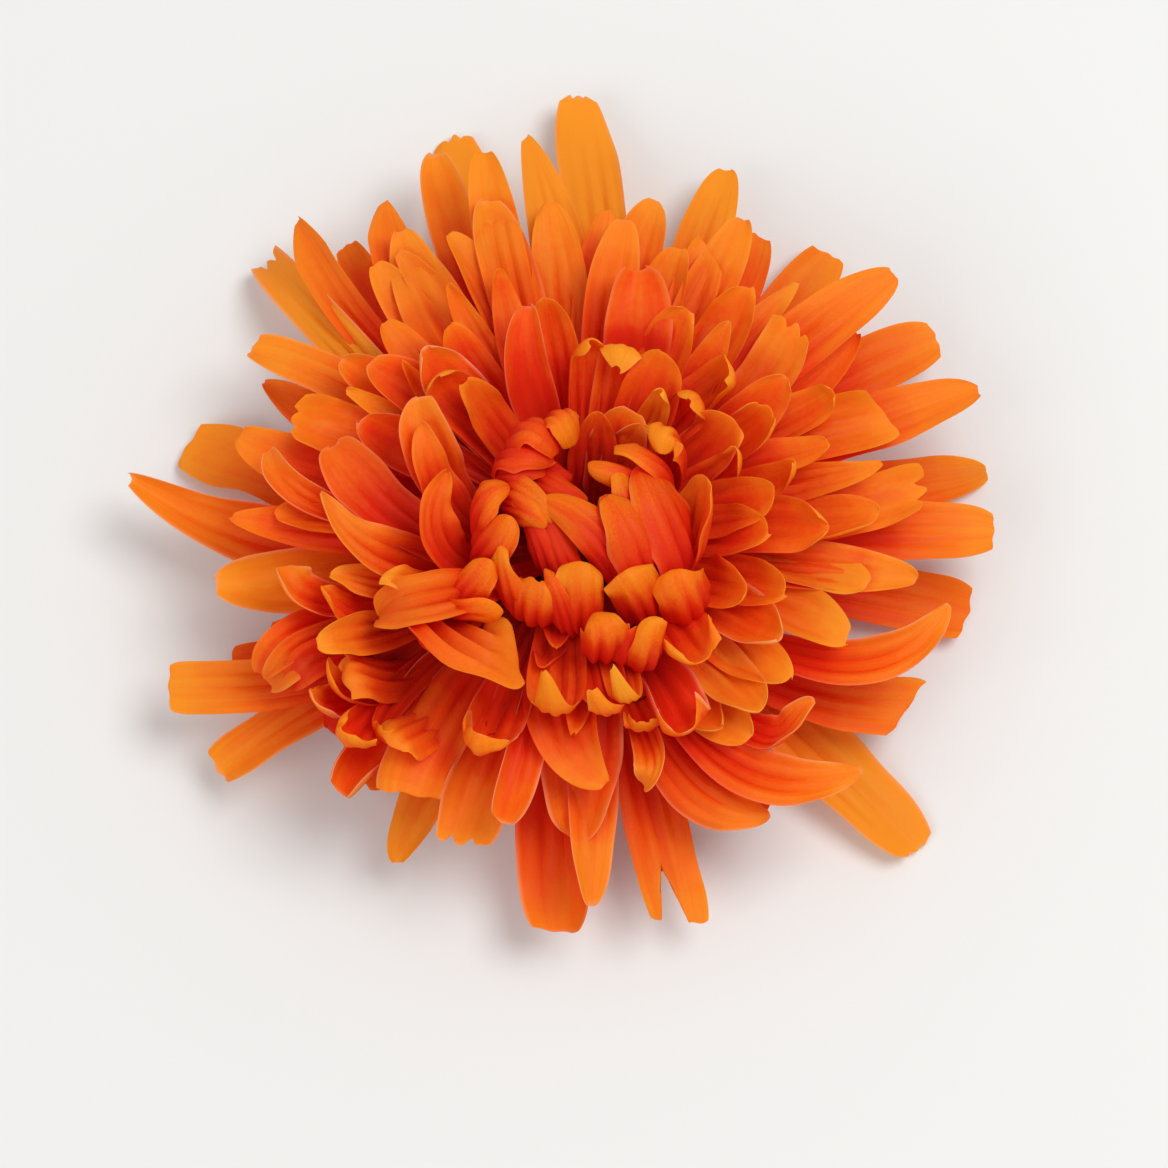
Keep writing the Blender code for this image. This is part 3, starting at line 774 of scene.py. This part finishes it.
def new_material(name):
    """An empty material and its node tree."""
    material = bpy.data.materials.new(name)
    material.use_nodes = True
    material.node_tree.nodes.clear()
    return material, material.node_tree


def set_stops(ramp, stops):
    """Give a colour ramp its stops, as places and sRGB hex colours."""
    elements = ramp.color_ramp.elements
    while len(elements) > 1:
        elements.remove(elements[-1])
    for number, (place, colour) in enumerate(stops):
        stop = elements[0] if number == 0 else elements.new(place)
        stop.position = place
        stop.color = linear(colour)


# Real sizes of the patterns, in millimetres
PETAL_WIDTH = 8.0         # a usual petal, across which the streaks are counted
VEIN_SPACING = 0.55
BAND_SPACING = 2.0
BLOTCH_SIZE = 11.11
FIBRE_SPACING = 0.7143
RELIEF = 0.2 * MM         # height of the veins and fibres, in metres
OWN_PATTERN = 40.0        # keeps the streaks of one petal apart from those of the next
COLOUR_RANGE = (-0.6, 1.4)                     # from the deepest painted shade to the brightest place
HIGHLIGHT_EDGE_RANGE = (0.72, 1.0)                       # the outermost part of a petal may carry a painted highlight
GLOW = 0.48               # share of the light that goes through a petal

# The colours from a petal's foot to its tip, its roughness and its sheen
# The lowest, dark crimson stops are mostly reached in painted shade: sheltered places and petals
# given very dark tones
PETAL_FACES = {
    "petal_inner_face": (
        ((0.0, "#8C1014"), (0.15, "#C81C18"), (0.30, "#F22A1C"), (0.475, "#F22E18"),
         (0.565, "#F44012"), (0.645, "#F86012"), (0.70, "#FA8014"), (0.77, "#FC9C1A"),
         (0.86, "#FCB028"), (1.0, "#FEC83C")), 0.46, 0.0),
    "petal_outer_face": (
        ((0.0, "#8C1014"), (0.15, "#C81C18"), (0.30, "#F22E1C"), (0.51, "#F44016"),
         (0.635, "#F86816"), (0.75, "#FA881E"), (0.93, "#FCAC2C")), 0.50, 0.03),
}


def petal_finish(name, rim):
    """Living petal: smooth satin skin over wet tissue, with fine veins along it.

    To the eye it is soft and lit from within.  Its colour runs from crimson at the foot to
    yellow orange at the tip, and is redder along the middle than at the edges.  Painted shade
    makes it darker and redder where other petals hide the sky, and a painted highlight makes
    its rim paler.
    """
    if name in bpy.data.materials:
        return bpy.data.materials[name]
    stops, roughness, sheen = PETAL_FACES[name]
    material, tree = new_material(name)
    along, across, tone, pale, shelter = (
        add_node(tree, "ShaderNodeAttribute", {"attribute_name": layer}).outputs["Fac"]
        for layer in (*PETAL_LAYERS, "shelter"))
    place = add_node(tree, "ShaderNodeCombineXYZ", links={"X": across, "Y": along, "Z": tone})

    def math_node(operation, values=(), links=()):
        node = add_node(tree, "ShaderNodeMath", {"operation": operation}, values, links)
        return node.outputs[0]

    def streaks(spacing, length, detail):
        """Streaks along the petal, set this far apart."""
        count = PETAL_WIDTH / spacing
        stretched = add_node(tree, "ShaderNodeVectorMath", {"operation": "MULTIPLY"},
                             {1: (count / 2.0, length, OWN_PATTERN)}, {0: place.outputs[0]})
        return add_node(tree, "ShaderNodeTexNoise", values={"Scale": 1.0, "Detail": detail},
                        links={"Vector": stretched.outputs[0]}).outputs["Fac"]

    veins = streaks(VEIN_SPACING, 1.6, 3.0)
    bands = streaks(BAND_SPACING, 1.0, 1.0)
    blotches = add_node(tree, "ShaderNodeTexNoise",
                        values={"Scale": 1.0 / (BLOTCH_SIZE * MM), "Detail": 2.0}).outputs["Fac"]
    square = math_node("MULTIPLY", links={0: across, 1: across})
    position = math_node("MULTIPLY_ADD", {1: 0.6}, {0: along, 2: tone})
    # How far each thing moves a point along the colours, and its value that doesn't move it
    for source, amount, middle in ((veins, 0.24, 0.5), (bands, 0.26, 0.5),
                                   (blotches, 0.22, 0.5), (square, 0.12, 0.35),
                                   # painted shade: sheltered points move towards the darker, redder
                                   # colours, open ones towards the lighter, yellower ones
                                   (shelter, -0.60, 0.90)):
        shift = math_node("MULTIPLY_ADD", {1: amount, 2: -amount * middle}, {0: source})
        position = math_node("ADD", links={0: position, 1: shift})
    lowest, highest = COLOUR_RANGE
    share = add_node(tree, "ShaderNodeMapRange", values={"From Min": lowest, "From Max": highest},
                     links={"Value": position}).outputs[0]
    ramp = add_node(tree, "ShaderNodeValToRGB", links={"Fac": share})
    set_stops(ramp, stops)

    # Painted highlight: the rim and the far end of a petal are mixed towards a pale colour, where
    # light catches its thin edges
    end = math_node("POWER", {1: 12.0}, {0: along})
    border = math_node("MAXIMUM", links={0: end, 1: square})
    rim_highlight_strength = math_node("MULTIPLY", links={0: pale, 1: along})
    first, last = HIGHLIGHT_EDGE_RANGE
    edge = add_node(tree, "ShaderNodeMapRange", {"interpolation_type": "SMOOTHSTEP"},
                    {"From Min": first, "From Max": last}, {"Value": border, "To Max": rim_highlight_strength})
    colour = add_node(tree, "ShaderNodeMix", {"data_type": "RGBA"}, {7: rim},
                      {0: edge.outputs[0], 6: ramp.outputs["Color"]}).outputs[2]
    bump = add_node(tree, "ShaderNodeBump", values={"Strength": 0.5, "Distance": RELIEF},
                    links={"Height": veins})
    gloss = add_node(tree, "ShaderNodeMapRange", links={"Value": veins},
                     values={"To Min": roughness - 0.06, "To Max": roughness + 0.08}).outputs[0]
    skin = add_node(tree, "ShaderNodeBsdfPrincipled",
                    values={"IOR": 1.42, "Sheen Weight": sheen, "Sheen Roughness": 0.4,
                            "Specular IOR Level": 0.22},
                    links={"Base Color": colour, "Roughness": gloss, "Normal": bump.outputs[0]})
    glow = add_node(tree, "ShaderNodeBsdfTranslucent", links={"Color": colour})
    blend = add_node(tree, "ShaderNodeMixShader", values={0: GLOW},
                     links={1: skin.outputs[0], 2: glow.outputs[0]})
    add_node(tree, "ShaderNodeOutputMaterial", links={"Surface": blend.outputs[0]})
    return material


def green_finish(name, stops, roughness):
    """Green stalk tissue: a waxy, half matt skin, mottled, with lengthwise fibres."""
    material, tree = new_material(name)
    where = add_node(tree, "ShaderNodeTexCoord").outputs["Object"]
    fibre_place = add_node(tree, "ShaderNodeVectorMath", {"operation": "MULTIPLY"},
                           {1: (1.0, 1.0, 0.12)}, {0: where})
    fibres = add_node(tree, "ShaderNodeTexNoise",
                      values={"Scale": 1.0 / (FIBRE_SPACING * MM), "Detail": 4.0},
                      links={"Vector": fibre_place.outputs[0]}).outputs["Fac"]
    ramp = add_node(tree, "ShaderNodeValToRGB", links={"Fac": fibres})
    set_stops(ramp, stops)
    bump = add_node(tree, "ShaderNodeBump", values={"Strength": 0.4, "Distance": RELIEF},
                    links={"Height": fibres})
    gloss = add_node(tree, "ShaderNodeMapRange", links={"Value": fibres},
                     values={"To Min": roughness - 0.1, "To Max": roughness + 0.1}).outputs[0]
    skin = add_node(tree, "ShaderNodeBsdfPrincipled", values={"IOR": 1.45},
                    links={"Base Color": ramp.outputs["Color"], "Roughness": gloss,
                           "Normal": bump.outputs[0]})
    add_node(tree, "ShaderNodeOutputMaterial", links={"Surface": skin.outputs[0]})
    return material


def paper_finish(colour):
    """Plain matt studio paper, which shows no gloss."""
    material, tree = new_material("studio_paper")
    skin = add_node(tree, "ShaderNodeBsdfPrincipled",
                    values={"Base Color": colour, "Roughness": 0.9})
    add_node(tree, "ShaderNodeOutputMaterial", links={"Surface": skin.outputs[0]})
    return material


# ---------------------------------------------------------------------------
# Settings and operators
# ---------------------------------------------------------------------------
def colour_setting(name, description, hex_colour):
    """A colour that a user can pick, from its usual sRGB hex value."""
    return bpy.props.FloatVectorProperty(
        name=name, description=description, default=linear(hex_colour),
        size=4, min=0.0, max=1.0, subtype="COLOR")


class BloomSettings(bpy.types.PropertyGroup):
    """Sizes and colours that a user of the bloom would change."""

    thickness: bpy.props.FloatProperty(
        name="Petal thickness", description="Thickness of a petal in its middle",
        default=0.0005, min=0.0001, max=0.002, unit="LENGTH")
    # The pale rim colours are painted highlights along the thin edges of the petals
    inner_rim_highlight: colour_setting(
        "Inner rim", "Colour of the pale edge of a petal, on its inner face", "#FFBE90")
    outer_rim_highlight: colour_setting(
        "Outer rim", "Colour of the pale edge of a petal, on its outer face", "#FFBE94")
    floor_colour: colour_setting("Floor", "Colour of the paper under the bloom", "#DCDCDA")
    camera_distance: bpy.props.FloatProperty(
        name="Camera distance", description="From the camera to the bloom",
        default=0.8, min=0.3, max=3.0, unit="LENGTH")
    camera_elevation: bpy.props.FloatProperty(
        name="Camera elevation", description="Height of the view above the horizon",
        default=math.radians(75.0), min=0.0, max=math.pi / 2, subtype="ANGLE")


class BLOOM_OT_single_petals(bpy.types.Operator):
    """Model the single petals of the rim over their solids"""

    bl_idname = "bloom.single_petals"
    bl_label = "Single petals"

    def execute(self, context):
        for node, row, traits in singles():
            petal = measured_petal(node, row, **traits)
            piece = petal_object(node + "_sheet", [petal], FIRST_RING + RING_STEP * row)
            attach(piece, BODY)
            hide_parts(node)
        return {"FINISHED"}


class BLOOM_OT_whorls(bpy.types.Operator):
    """Model the whorls of petals above the rim, in to the heart"""

    bl_idname = "bloom.whorls"
    bl_label = "Whorls"

    def execute(self, context):
        for node, (ring, tone, petals) in WHORLS.items():
            piece = petal_object(node + "_sheets", petals, ring, tone)
            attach(piece, BODY)
            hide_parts(node)
        return {"FINISHED"}


class BLOOM_OT_painted_shade(bpy.types.Operator):
    """Mark which parts of the petals lie sheltered, for painted shade that makes them darker and
    redder
    """

    bl_idname = "bloom.shelter"
    bl_label = "Sheltered parts"

    def execute(self, context):
        names = [node + "_sheet" for node, _, _ in singles()]
        names += [node + "_sheets" for node in WHORLS]
        mark_painted_shade([bpy.data.objects[name] for name in names])
        return {"FINISHED"}


class BLOOM_OT_greens(bpy.types.Operator):
    """Finish the stump, the receptacle and the bracts"""

    bl_idname = "bloom.greens"
    bl_label = "Stump and bracts"

    def execute(self, context):
        stalk = green_finish("chrysanthemum_stalk",
                             ((0.2, "#4E5E33"), (0.5, "#66773F"), (0.8, "#7D8B52")), 0.5)
        bract = green_finish("chrysanthemum_bract",
                             ((0.2, "#4C6330"), (0.5, "#64803E"), (0.8, "#86995A")), 0.55)
        for node, finish in (("stem_with_receptacle", stalk), ("bracts_upper", bract),
                             ("bracts_lower", bract)):
            for material_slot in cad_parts[node].material_slots:
                material_slot.material = finish
        return {"FINISHED"}


class BLOOM_OT_stage(bpy.types.Operator):
    """Set the pale floor, the soft lamps and the camera"""

    bl_idname = "bloom.stage"
    bl_label = "Stage"

    def execute(self, context):
        settings = context.scene.bloom_settings
        make_floor(settings.floor_colour)
        make_lamps()
        make_camera(settings.camera_distance, settings.camera_elevation)
        context.scene.view_settings.view_transform = "Standard"
        return {"FINISHED"}


# ---------------------------------------------------------------------------
# Stage, in metres and watts
# ---------------------------------------------------------------------------
FLOOR_SIDE = 3.0
LAMPS = {"key": ((0.42, 0.12, 1.0), 0.6, 6.6),         # place, width and power
         "fill": ((-0.7, -0.6, 0.9), 0.9, 3.7)}
WHITE = (1.0, 1.0, 1.0, 1.0)
SURROUNDING_LIGHT = 0.64
VIEW_WIDTH = 0.1825       # width of the view at the bloom
SENSOR = 36.0             # millimetres
AIM_HEIGHT = 0.010
AIM_ASIDE, AIM_BELOW = 0.0006, 0.00375         # the view's middle against the bloom's axis


def make_floor(colour):
    """A wide flat floor under the bloom."""
    builder = bmesh.new()
    bmesh.ops.create_grid(builder, x_segments=8, y_segments=8, size=FLOOR_SIDE / 2.0)
    mesh = bpy.data.meshes.new("floor")
    builder.to_mesh(mesh)
    builder.free()
    mesh.materials.append(paper_finish(colour))
    add_object("floor", mesh)


def make_lamps():
    """Two soft round lamps that face the bloom, in an even white surrounding."""
    for name, (place, width, power) in LAMPS.items():
        lamp = bpy.data.lights.new(name, "AREA")
        lamp.shape = "DISK"
        lamp.size = width
        lamp.energy = power
        holder = add_object(name, lamp)
        holder.location = place
        holder.rotation_euler = (-Vector(place)).to_track_quat("-Z", "Y").to_euler()
    world = bpy.data.worlds.new("studio")
    world.use_nodes = True
    background = world.node_tree.nodes["Background"].inputs
    background["Color"].default_value = WHITE
    background["Strength"].default_value = SURROUNDING_LIGHT
    bpy.context.scene.world = world


def make_camera(distance, elevation):
    """A camera in front of the bloom that looks down at it."""
    back = Vector((0.0, -math.cos(elevation), math.sin(elevation)))
    rise = Vector((0.0, math.sin(elevation), math.cos(elevation)))
    aim = Vector((AXIS.x * MM + AIM_ASIDE, AXIS.y * MM, AIM_HEIGHT)) - AIM_BELOW * rise
    lens = bpy.data.cameras.new("camera")
    lens.sensor_width = SENSOR
    lens.lens = SENSOR * distance / VIEW_WIDTH
    camera = add_object("camera", lens)
    camera.location = aim + distance * back
    camera.rotation_euler = (-back).to_track_quat("-Z", "Y").to_euler()
    bpy.context.scene.camera = camera


# ---------------------------------------------------------------------------
# Panel and registration
# ---------------------------------------------------------------------------
class BLOOM_PT_panel(bpy.types.Panel):
    """Lists the bloom's settings and steps in the 3D view's sidebar"""

    bl_idname = "BLOOM_PT_panel"
    bl_label = "Chrysanthemum bloom"
    bl_space_type = "VIEW_3D"
    bl_region_type = "UI"
    bl_category = "Bloom"

    def draw(self, context):
        for name in BloomSettings.__annotations__:
            self.layout.prop(context.scene.bloom_settings, name)
        for operator in OPERATORS:
            self.layout.operator(operator.bl_idname)


OPERATORS = (BLOOM_OT_single_petals, BLOOM_OT_whorls, BLOOM_OT_painted_shade, BLOOM_OT_greens,
             BLOOM_OT_stage)
CLASSES = (BloomSettings, *OPERATORS, BLOOM_PT_panel)


def register():
    for cls in CLASSES:
        bpy.utils.register_class(cls)
    bpy.types.Scene.bloom_settings = bpy.props.PointerProperty(type=BloomSettings)


def unregister():
    del bpy.types.Scene.bloom_settings
    for cls in reversed(CLASSES):
        bpy.utils.unregister_class(cls)


def main():
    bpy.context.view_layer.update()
    register()
    bpy.ops.bloom.single_petals()
    bpy.ops.bloom.whorls()
    bpy.ops.bloom.shelter()
    bpy.ops.bloom.greens()
    bpy.ops.bloom.stage()


if __name__ == "__main__":
    main()
